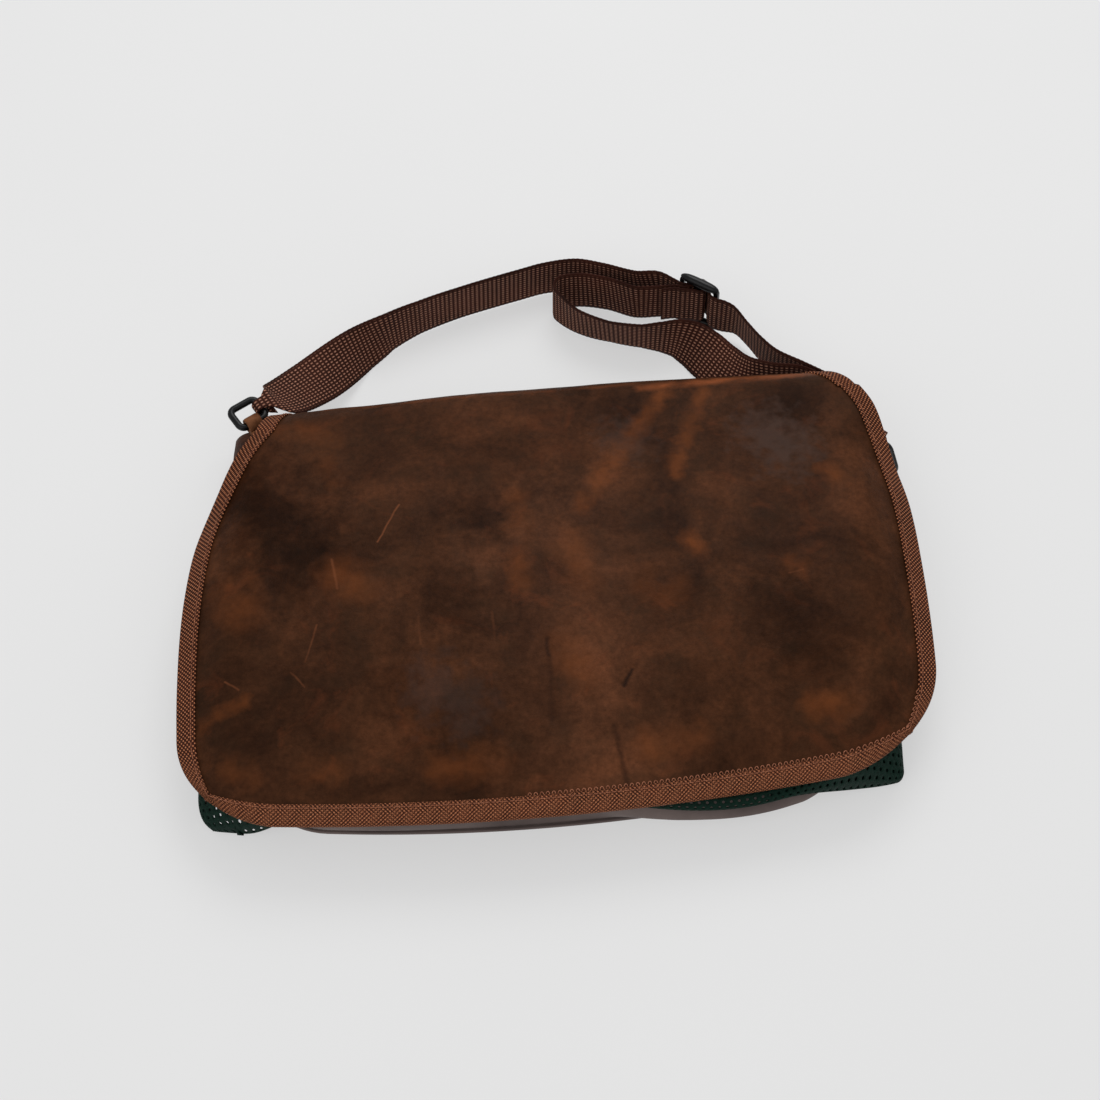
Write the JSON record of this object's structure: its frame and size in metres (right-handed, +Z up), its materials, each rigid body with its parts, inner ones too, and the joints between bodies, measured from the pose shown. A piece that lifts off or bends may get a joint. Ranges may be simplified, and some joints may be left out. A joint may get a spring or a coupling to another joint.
{
  "type": "game bag",
  "caption": "Leather game bag lying on its back, with a bound flap folded over the front, a net pocket under the flap, a ring at each side and a webbing shoulder strap.",
  "frame": {"origin": "on the underside of the back panel, near the middle of the bag", "axes": "+X across the bag, +Y from its bottom edge to the fold of the flap, +Z up from the surface it lies on"},
  "size_m": [0.4137, 0.3761, 0.0581],
  "materials": {
    "leather": "oiled, mottled, satin",
    "pouch_leather": "smooth, satin",
    "net": "open net, matte",
    "tape": "ribbed woven tape, matte",
    "webbing": "ribbed webbing, matte",
    "black_metal": "black, satin"
  },
  "bodies": {
    "root": {"back_panel": "leather", "pouch": "pouch_leather", "game_net": "net", "flap": "leather", "flap_binding": "tape", "ring_tab_left": "leather", "ring_tab_right": "leather", "ring_left": "black_metal", "ring_right": "black_metal", "strap": "webbing", "slider": "black_metal"}
  },
  "joints": []
}
